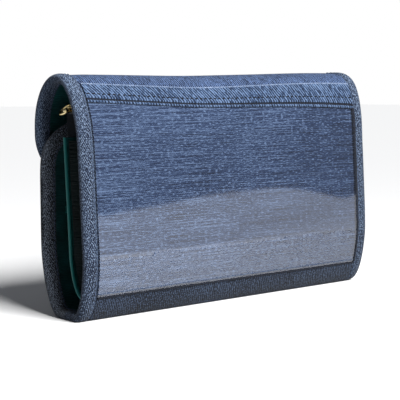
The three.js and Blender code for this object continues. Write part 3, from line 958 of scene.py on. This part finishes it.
# the stiffener boards follow the same soft shape as the cloth over them
boardLook = {
    "inset": 2.7 * mm,
    "half": 0.6 * mm,
    "columns": 60,
    "foldGap": 4.2 * mm,
    "backEnd": 200,           # degrees round the heel
    "baseStart": 204,
}
gap = boardLook["foldGap"]
boards = [
    ("back", "back_board", (marks["topFold"] + gap, heelMark(boardLook["backEnd"])), "back"),
    ("base", "bottom_board", (heelMark(boardLook["baseStart"]), marks["frontFold"] - gap), "back"),
    ("crown", "spine_board", (marks["flapFold"] + gap, marks["topFold"] - gap), "top_spine"),
    ("flap", "flap_board", (marks["tip"] + boardLook["inset"], marks["flapFold"] - gap), "flap"),
    ("front", "front_board", (marks["frontFold"] + gap, marks["top"] - boardLook["inset"]), "front"),
]
for name, node, span, body in boards:
    bm = wallSheet(span, boardLook["inset"], boardLook["half"], 2 * boardLook["half"],
                   boardLook["columns"], rowsFor(span))
    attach(makePiece(name + "Stiffener", bm, greyBoard, [node]), body)

# zipped pouch
pouchLow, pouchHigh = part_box("pouch_front")
pouchLook = {
    "waist": (-4 * mm, 48 * mm),
    "foot": (14 * mm, 34 * mm),
    "top": (0.6 * mm, 112 * mm),
    "thickness": 0.7 * mm,
    "pipeRadius": 1.15 * mm,
    "pipeInset": 0.9 * mm,
    "pipeSteps": 70,
    "ripple": 0.7 * mm,
}
footCentre = (pouchLook["waist"][0] - pouchLook["foot"][0], pouchLook["waist"][1])
pouchTrack = Track([(pouchLow.y, footCentre[1] - pouchLook["foot"][1])]
                   + arcPoints(footCentre, pouchLook["foot"], -90, 0, 30) + [pouchLook["top"]])


def pouchPoint(x, along, out):
    y, z, outY, outZ = pouchTrack.at(along)
    # the track runs upwards, so its outer side faces the front panel
    return Vector((x, y - outY * out, z - outZ * out))


def placePouch(u, v):
    x = (1 - 2 * u) * (pouchHigh.x - 0.4 * mm)
    along = pouchTrack.length * v
    free = smoothStep(v, 0.02, 0.35) * (1 - smoothStep(v, 0.86, 1.0))
    fold = math.sin(x / (7.5 * mm) + 2.2 * math.sin(x / (31 * mm)))
    crumple = noise.noise(Vector((x * 40, along * 22, 7)))
    wave = pouchLook["ripple"] * free * (0.6 * fold + 0.6 * crumple)
    return pouchPoint(x, along, pouchLook["thickness"] / 2 + wave - 0.4 * mm * free), (x, along)


bm = gridMesh(150, 54, placePouch)
thicken(bm, pouchLook["thickness"])
pouchWall = makePiece("pouchWallSatin", bm, pouchSatin, ["pouch_front"])
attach(pouchWall, "back")


def addTube(bm, path, radiusA, radiusB, sideWay, sides=10, closed=False):
    # sweeps an oval along a path; sideWay is a direction across it
    rings = []
    count = len(path)
    for index, point in enumerate(path):
        ahead = path[(index + 1) % count] if closed else path[min(index + 1, count - 1)]
        behind = path[index - 1] if closed else path[max(index - 1, 0)]
        way = (ahead - behind).normalized()
        up = way.cross(sideWay).normalized()
        ring = []
        for side in range(sides):
            angle = 2 * math.pi * side / sides
            ring.append(bm.verts.new(point + sideWay * math.cos(angle) * radiusA
                                     + up * math.sin(angle) * radiusB))
        rings.append(ring)
    last = count if closed else count - 1
    for index in range(last):
        first, second = rings[index], rings[(index + 1) % count]
        for side in range(sides):
            after = (side + 1) % sides
            bm.faces.new((first[side], first[after], second[after], second[side]))
    if not closed:
        bm.faces.new(rings[0])
        bm.faces.new(rings[-1])
    bmesh.ops.recalc_face_normals(bm, faces=list(bm.faces))


for sideName, side in sides.items():
    bm = bmesh.new()
    steps = pouchLook["pipeSteps"]
    path = [pouchPoint(side * (pouchHigh.x - pouchLook["pipeInset"]), pouchTrack.length * i / steps, 0)
            for i in range(steps + 1)]
    addTube(bm, path, pouchLook["pipeRadius"], pouchLook["pipeRadius"] * 0.8, Vector((1, 0, 0)))
    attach(makePiece("pouchPiping" + sideName, bm, paleTrimHighlightSatin), "back")


# pleated gussets between the pouch and the back
gussetLook = {
    "depth": 9.4 * mm,
    "thickness": 0.6 * mm,
    "backClear": 3.2 * mm,
    "frontClear": 1.1 * mm,
    "endClear": 0.5 * mm,
    "sag": 0.7 * mm,
}


def addGusset(sideName, side):
    node = "pouch_gusset_" + sideName.lower()
    gussetLow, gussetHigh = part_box(node)
    outerX = gussetHigh.x if side > 0 else -gussetLow.x

    def place(u, v):
        z = gussetLow.z + (gussetHigh.z - gussetLow.z) * v
        beside = min(pouchTrack.points, key=lambda point: abs(point[1] - z))
        frontEdge = beside[0] - gussetLook["frontClear"]
        backMark = markAtHeight(z, marks["topFold"], heelMark(262))
        backEdge = shell.at(backMark)[0] + gussetLook["backClear"]
        pleat = abs(2 * u - 1) ** 1.3
        depth = gussetLook["depth"] * (1 - pleat) * smoothStep(v, -0.1, 0.3)
        sag = gussetLook["sag"] * noise.noise(Vector((u * 3, v * 5, side)))
        x = side * (outerX - gussetLook["endClear"] - depth + sag)
        y = backEdge + (frontEdge - backEdge) * u
        return Vector((x, y, z)), (y, z)

    bm = gridMesh(28, 46, place)
    thicken(bm, gussetLook["thickness"])
    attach(makePiece("pouchGussetSatin" + sideName, bm, shadedGussetSatin, [node]), "back")


for sideName, side in sides.items():
    addGusset(sideName, side)
print("pouch made")

# zip
coilLow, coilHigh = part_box("zip_coil")
zipCentre = (coilLow + coilHigh) / 2
zipLook = {
    "toothPitch": 1.5 * mm,
    "toothWidth": 0.85 * mm,
    "toothSpread": 0.2,          # shares of the coil's size
    "toothSize": (0.6, 0.55, 0.86),
    "stopBevel": 0.35 * mm,
    "tapeThickness": 0.55 * mm,
    "tapeWave": 0.15 * mm,
    "tapeClear": 0.35 * mm,
    "tapeDrop": 0.9 * mm,
}


def addZipTape(name, node, points):
    track = Track(points)

    def place(u, v):
        x = (1 - 2 * u) * coilHigh.x
        y, z, outY, outZ = track.at(track.length * v)
        return Vector((x, y, z + zipLook["tapeWave"] * math.sin(x / (9 * mm)))), (x, track.length * v)

    bm = gridMesh(90, 12, place)
    thicken(bm, zipLook["tapeThickness"])
    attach(makePiece(name, bm, zipWoven, [node]), "back")


tapeEnd = coilLow.z - zipLook["tapeClear"]
addZipTape("zipTapeBack", "zip_tape_back", [
    (zipCentre.y - zipLook["tapeDrop"], tapeEnd),
    (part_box("zip_tape_back")[0].y, tapeEnd - zipLook["tapeDrop"]),
])
addZipTape("zipTapeFront", "zip_tape_front", [
    (pouchLook["top"][0] + 0.1 * mm, pouchLook["top"][1] + 0.2 * mm), (1.6 * mm, 117 * mm),
    (2.0 * mm, 122 * mm), (1.8 * mm, tapeEnd),
])


def addZipTeeth():
    bm = bmesh.new()
    count = round((coilHigh.x - coilLow.x) / zipLook["toothPitch"])
    size = coilHigh - coilLow
    for index in range(count):
        for row in (-1, 1):
            x = coilLow.x + (index + 0.5 + row * 0.25) * zipLook["toothPitch"]
            place = Vector((x, zipCentre.y + row * size.y * zipLook["toothSpread"], zipCentre.z))
            shareX, shareY, shareZ = zipLook["toothSize"]
            shape = Matrix.Diagonal((zipLook["toothWidth"] * shareX, size.y * shareY,
                                     size.z * shareZ, 1))
            bmesh.ops.create_cube(bm, size=1, matrix=Matrix.Translation(place) @ shape)
    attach(makePiece("zipTeethGold", bm, goldPlate, ["zip_coil"]), "back")


addZipTeeth()


def addBox(bm, centre, size, bevel=0.0):
    made = bmesh.ops.create_cube(bm, size=1, matrix=Matrix.Translation(centre)
                                 @ Matrix.Diagonal((*size, 1)))
    if bevel:
        edges = list({edge for vert in made["verts"] for edge in vert.link_edges})
        bmesh.ops.bevel(bm, geom=edges, offset=bevel, segments=3, profile=0.5, affect="EDGES",
                        material=-1)


for sideName in ("left", "right"):
    stopLow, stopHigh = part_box("zip_stop_" + sideName)
    bm = bmesh.new()
    addBox(bm, (stopLow + stopHigh) / 2, stopHigh - stopLow, zipLook["stopBevel"])
    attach(makePiece("zipStop" + sideName.capitalize(), bm, goldPlate,
                      ["zip_stop_" + sideName]), "back")

# slider and pull
sliderLook = {
    "length": 9 * mm,
    "width": 6.4 * mm,
    "plate": 1.1 * mm,
    "plateRise": 1.95 * mm,
    "plateBevel": 0.5 * mm,
    "wall": (1.1 * mm, 2.3 * mm),      # thickness and height of the slider's side walls
    "wallPlace": (2.55 * mm, 0.75 * mm),
    "wallShare": 0.86,
    "wallBevel": 0.4 * mm,
    "bailRadius": 1.85 * mm,
    "bailFoot": 2.2 * mm,
    "bailSpring": 4.1 * mm,
    "bailRise": 1.4 * mm,
    "bailBand": (1.1 * mm, 0.4 * mm),
    "ringHalf": (3.4 * mm, 4.6 * mm),
    "ringWire": 0.85 * mm,
    "ringStart": 2.5 * mm,
    "hangWay": (-0.46, 0.72, -0.52),
    "faceTurn": -35,
    "linkStart": 1.6 * mm,
    "linkRadius": 2.1 * mm,
    "linkWire": 0.5 * mm,
    "steps": 28,
}


def addSlider():
    bm = bmesh.new()
    centre = Vector((pullPivot.x, zipCentre.y, zipCentre.z))
    plate = Vector((sliderLook["length"], sliderLook["width"], sliderLook["plate"]))
    addBox(bm, centre + Vector((0, 0, sliderLook["plateRise"])), plate, sliderLook["plateBevel"])
    wallY, wallZ = sliderLook["wallPlace"]
    for side in (-1, 1):
        addBox(bm, centre + Vector((0, side * wallY, wallZ)),
               Vector((sliderLook["length"] * sliderLook["wallShare"], *sliderLook["wall"])),
               sliderLook["wallBevel"])
    radius = sliderLook["bailRadius"]
    path = [centre + Vector((0, radius, sliderLook["bailFoot"]))]
    for degrees in range(0, 181, 15):
        angle = math.radians(degrees)
        rise = sliderLook["bailSpring"] + sliderLook["bailRise"] * math.sin(angle)
        path.append(centre + Vector((0, radius * math.cos(angle), rise)))
    path.append(centre + Vector((0, -radius, sliderLook["bailFoot"])))
    addTube(bm, path, *sliderLook["bailBand"], Vector((1, 0, 0)), 12)
    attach(makePiece("zipSliderGold", bm, goldPlate, ["zip_slider"]), "zip_slider")


def addLoop(bm, centre, longWay, wideWay, halfLong, halfWide, wire):
    path = []
    for step in range(sliderLook["steps"]):
        angle = 2 * math.pi * step / sliderLook["steps"]
        path.append(centre + longWay * math.cos(angle) * halfLong
                    + wideWay * math.sin(angle) * halfWide)
    addTube(bm, path, wire, wire * 0.8, longWay.cross(wideWay).normalized(), 10, True)


def addPull():
    # an oval ring on a small link; it hangs askew, out over the end of the pouch
    hang = Vector(sliderLook["hangWay"]).normalized()
    across = hang.cross(Vector((0, 0, 1))).normalized()
    faceTurn = Matrix.Rotation(math.radians(sliderLook["faceTurn"]), 3, hang)
    halfWide, halfLong = sliderLook["ringHalf"]
    bm = bmesh.new()
    addLoop(bm, pullPivot + hang * sliderLook["linkStart"], hang, -across,
            sliderLook["linkRadius"], sliderLook["linkRadius"] * 0.8, sliderLook["linkWire"])
    addLoop(bm, pullPivot + hang * (sliderLook["ringStart"] + halfLong), hang, faceTurn @ across,
            halfLong, halfWide, sliderLook["ringWire"])
    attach(makePiece("zipPullGold", bm, goldPlate, ["zip_pull"]), "zip_pull")


addSlider()
addPull()
print("zip made")

# inside of the front panel
def frontMark(z):
    return markAtHeight(z, marks["base"] + 12 * mm, marks["top"])


def gatherAt(x):
    return 0.5 * math.sin(x / (6 * mm) + math.sin(x / (17 * mm))) + 0.5


pocketLow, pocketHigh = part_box("front_pocket")
hemLow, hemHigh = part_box("front_pocket_hem")
padLow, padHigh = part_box("earring_pad")
rollLow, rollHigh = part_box("ring_roll")
fittingLook = {
    "out": -2.3 * mm,
    "pocketThickness": 0.6 * mm,
    "pocketEase": 0.9 * mm,
    "padThickness": 2.6 * mm,
    "padPressure": 3.0,
    "padVoxel": 1.3 * mm,
    "padCap": 0.6 * mm,
    "eyeletRows": (0.3, 0.7),
    "eyeletPitch": 13 * mm,
    "eyeletPair": 2.6 * mm,
    "eyeletRadius": 0.9 * mm,
    "eyeletWire": 0.3 * mm,
    "rollVoxel": 2.0 * mm,
    "rollCap": 0.5 * mm,
    "rollBevel": 1.6 * mm,
    "bandHalf": 0.45 * mm,
    "rollPressure": 3.0,
}


def placePocket(u, v):
    # the inner side faces the pouch, so x runs the other way from the cover's
    start, end = frontMark(pocketLow.z), frontMark(pocketHigh.z)
    x = (2 * u - 1) * pocketHigh.x
    along = start + (end - start) * v
    slack = smoothStep(1 - abs(2 * u - 1), 0, 0.2) * smoothStep(v, 0, 0.5)
    depth = fittingLook["out"] - fittingLook["pocketThickness"] - 0.1 * mm
    return wallPoint(x, along, depth - fittingLook["pocketEase"] * slack * gatherAt(x)), (x, along)


bm = gridMesh(150, 22, placePocket)
thicken(bm, fittingLook["pocketThickness"])
slipPocket = makePiece("slipPocketSatin", bm, liningSatin, ["front_pocket"])
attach(slipPocket, "front")
frontMark(pocketHigh.z) - frontMark(pocketLow.z)


def placeHem(u, v):
    x = (2 * u - 1) * hemHigh.x
    start, end = frontMark(hemLow.z - 0.4 * mm), frontMark(hemHigh.z)
    along = start + (end - start) * v
    roll = math.sin(math.pi * min(max(v, 0.02), 0.98)) ** 0.6
    slack = smoothStep(1 - abs(2 * u - 1), 0, 0.2)
    depth = fittingLook["out"] - 0.7 * mm - 0.5 * mm * roll
    depth -= fittingLook["pocketEase"] * slack * gatherAt(x) * 0.7
    return wallPoint(x, along, depth), (x, along)


bm = gridMesh(150, 8, placeHem)
thicken(bm, 0.6 * mm)
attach(makePiece("slipPocketHem", bm, paleTrimHighlightSatin, ["front_pocket_hem"]), "front")


fillLook = {"frames": 20, "quality": 6, "stiffness": 25}


def inflate(piece, voxel, pressure, cap):
    # blows the shell up a little, as filled cloth bulges, by no more than the cap
    skin = piece.modifiers.new("evenSkin", "REMESH")
    skin.mode = "VOXEL"
    skin.voxel_size = voxel
    bpy.context.view_layer.objects.active = piece
    bpy.ops.object.modifier_apply(modifier=skin.name)
    before = [vert.co.copy() for vert in piece.data.vertices]
    cloth = piece.modifiers.new("filledCloth", "CLOTH")
    cloth.settings.use_pressure = True
    cloth.settings.uniform_pressure_force = pressure
    cloth.settings.effector_weights.gravity = 0
    cloth.settings.quality = fillLook["quality"]
    cloth.settings.tension_stiffness = fillLook["stiffness"]
    cloth.settings.compression_stiffness = fillLook["stiffness"]
    cloth.point_cache.frame_start = 1
    cloth.point_cache.frame_end = fillLook["frames"]
    for frameNumber in range(1, fillLook["frames"] + 1):
        bpy.context.scene.frame_set(frameNumber)
    bpy.ops.object.modifier_apply(modifier=cloth.name)
    bpy.context.scene.frame_set(1)
    for vert, start in zip(piece.data.vertices, before):
        travel = vert.co - start
        if travel.length > cap:
            vert.co = start + travel.normalized() * cap
    rounded = piece.modifiers.new("softSkin", "SUBSURF")
    rounded.levels = rounded.render_levels = 1
    bpy.ops.object.modifier_apply(modifier=rounded.name)
    piece.data.shade_smooth()


def addEarringPad():
    start, end = frontMark(padLow.z), frontMark(padHigh.z)
    middle, halfWidth = (padLow.x + padHigh.x) / 2, (padHigh.x - padLow.x) / 2

    def place(u, v):
        x = middle + (2 * u - 1) * halfWidth
        along = start + (end - start) * v
        rim = min(1 - abs(2 * u - 1), (1 - abs(2 * v - 1)) * 0.3) / 0.05
        dome = math.sqrt(min(max(rim, 0), 1))
        depth = fittingLook["out"] - 1.2 * mm - (fittingLook["padThickness"] - 1.2 * mm) * dome
        return wallPoint(x, along, depth), (x, along)

    bm = gridMesh(80, 28, place)
    thicken(bm, fittingLook["padThickness"] * 0.75)
    pad = makePiece("earringPadVelvet", bm, tealVelvet, ["earring_pad"])
    inflate(pad, fittingLook["padVoxel"], fittingLook["padPressure"], fittingLook["padCap"])
    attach(pad, "front")
    eyelets = bmesh.new()
    wire = fittingLook["eyeletWire"]
    for row in fittingLook["eyeletRows"]:
        for column in range(7):
            for pair in (-1, 1):
                x = middle + (column - 3) * fittingLook["eyeletPitch"]
                x += pair * fittingLook["eyeletPair"]
                along = start + (end - start) * row
                seat = wallPoint(x, along, fittingLook["out"] - fittingLook["padThickness"] - wire)
                out = (wallPoint(x, along, 1 * mm) - wallPoint(x, along, 0)).normalized()
                across = Vector((1, 0, 0))
                up = out.cross(across)
                ring = [seat + (across * math.cos(a * math.pi / 5) + up * math.sin(a * math.pi / 5))
                        * fittingLook["eyeletRadius"] for a in range(10)]
                addTube(eyelets, ring, wire, wire, out, 6, True)
    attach(makePiece("earringEyelets", eyelets, goldPlate), "front")


addEarringPad()


def addRingRoll():
    centre = (rollLow + rollHigh) / 2
    radius = (rollHigh.z - rollLow.z) / 2 - 0.2 * mm
    bm = bmesh.new()
    bmesh.ops.create_cone(bm, cap_ends=True, segments=32, radius1=radius, radius2=radius,
                          depth=rollHigh.x - rollLow.x - 1 * mm)
    rims = [edge for edge in bm.edges if abs(edge.verts[0].co.z - edge.verts[1].co.z) < 1e-6]
    bmesh.ops.bevel(bm, geom=rims, offset=fittingLook["rollBevel"], segments=4, profile=0.5,
                    affect="EDGES", material=-1)
    bmesh.ops.transform(bm, verts=list(bm.verts),
                        matrix=Matrix.Translation(centre) @ Matrix.Rotation(math.pi / 2, 4, "Y"))
    roll = makePiece("ringRollVelvet", bm, tealVelvet, ["ring_roll"])
    inflate(roll, fittingLook["rollVoxel"], fittingLook["rollPressure"], fittingLook["rollCap"])
    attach(roll, "front")
    for sideName in ("left", "right"):
        bandLow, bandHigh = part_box("ring_roll_band_" + sideName)
        bandCentre = (bandLow + bandHigh) / 2
        bandRadius = (bandHigh.z - bandLow.z) / 2 - fittingLook["bandHalf"]
        ring = [bandCentre + Vector((0, math.cos(a * math.pi / 18), math.sin(a * math.pi / 18)))
                * bandRadius for a in range(36)]
        band = bmesh.new()
        addTube(band, ring, (bandHigh.x - bandLow.x) / 2, fittingLook["bandHalf"],
                Vector((1, 0, 0)), 16, True)
        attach(makePiece("ringRollBand" + sideName.capitalize(), band, paleTrimHighlightSatin,
                          ["ring_roll_band_" + sideName]), "front")


addRingRoll()
print("front fittings made")

# camera and light
view = {
    "azimuth": -40.0,
    "elevation": 5.28,
    "distance": 753 * mm,
    "target": (-13.2 * mm, -2.5 * mm, 67.3 * mm),
    "roll": -0.15,
    "lens": 100.4,
}


def addCamera():
    azimuth, elevation = math.radians(view["azimuth"]), math.radians(view["elevation"])
    back = Vector((math.sin(azimuth) * math.cos(elevation),
                   -math.cos(azimuth) * math.cos(elevation), math.sin(elevation)))
    data = bpy.data.cameras.new("camera")
    data.lens = view["lens"]
    data.sensor_width = 36
    data.clip_end = 100
    camera = bpy.data.objects.new("camera", data)
    turn = back.to_track_quat("Z", "Y").to_matrix().to_4x4()
    spin = Matrix.Rotation(math.radians(view["roll"]), 4, "Z")
    place = Vector(view["target"]) + back * view["distance"]
    camera.matrix_world = Matrix.Translation(place) @ turn @ spin
    bpy.context.scene.collection.objects.link(camera)
    bpy.context.scene.camera = camera


lighting = {
    "sunStrength": 4.75,
    "sunAngle": 30,
    "sunFrom": (0.12, -1.0, 0.86),
    "ambient": 0.15,
    "boxPower": 3.4,
    "boxSize": 0.34,
    "boxPlace": (-0.04, -0.42, 0.47),
    "boxAim": (0.0, 0.0, 0.1),
    "floorHalf": 14.0,
}


def addLight():
    sun = bpy.data.lights.new("softbox", "SUN")
    sun.energy = lighting["sunStrength"]
    sun.angle = math.radians(lighting["sunAngle"])
    lamp = bpy.data.objects.new("softbox", sun)
    lamp.rotation_euler = Vector(lighting["sunFrom"]).to_track_quat("Z", "Y").to_euler()
    bpy.context.scene.collection.objects.link(lamp)
    box = bpy.data.lights.new("nearSoftbox", "AREA")
    box.energy = lighting["boxPower"]
    box.size = lighting["boxSize"]
    near = bpy.data.objects.new("nearSoftbox", box)
    near.location = lighting["boxPlace"]
    aim = Vector(lighting["boxPlace"]) - Vector(lighting["boxAim"])
    near.rotation_euler = aim.to_track_quat("Z", "Y").to_euler()
    bpy.context.scene.collection.objects.link(near)
    world = bpy.data.worlds.new("studio")
    bpy.context.scene.world = world
    bpy.context.scene.view_settings.view_transform = "Standard"
    world.use_nodes = True
    tree = world.node_tree
    tree.nodes.clear()
    path = addNode(tree, "ShaderNodeLightPath", {})
    dim = addNode(tree, "ShaderNodeBackground", {
        "Color": hexColour("#e9edf5"), "Strength": lighting["ambient"],
    })
    white = addNode(tree, "ShaderNodeBackground", {"Color": hexColour("#ffffff"), "Strength": 1.0})
    mixed = addNode(tree, "ShaderNodeMixShader", {
        0: path.outputs["Is Camera Ray"], 1: dim.outputs[0], 2: white.outputs[0],
    })
    addNode(tree, "ShaderNodeOutputWorld", {"Surface": mixed.outputs[0]})


def addFloor():
    bm = bmesh.new()
    bmesh.ops.create_grid(bm, x_segments=1, y_segments=1, size=lighting["floorHalf"])
    mesh = bpy.data.meshes.new("studioFloor")
    bm.to_mesh(mesh)
    bm.free()
    material, tree, shader = newMaterial("mattWhiteTable")
    # pale to the eye and in the vinyl, darker in the light it throws back on the case
    path = addNode(tree, "ShaderNodeLightPath", {})
    paint = mixColour(tree, path.outputs["Is Diffuse Ray"], hexColour("#eeeeee"), hexColour("#a4a4a4"))
    tree.links.new(paint, shader.inputs["Base Color"])
    tune(shader, {"Roughness": 0.95, "Specular IOR Level": 0.1})
    mesh.materials.append(material)
    floor = bpy.data.objects.new("studioFloor", mesh)
    floor.location.z = low.z - 0.1 * mm
    bpy.context.scene.collection.objects.link(floor)


addCamera()
addLight()
addFloor()
print("camera, light and floor set")

# the magnets keep the frame's own nodes
for part in frame["record"]["subparts"]:
    if part["material_slot"] == "magnet_steel":
        magnet = frame["nodes"][part["node"]]
        magnet.data.materials.clear()
        magnet.data.materials.append(magnetSteel)
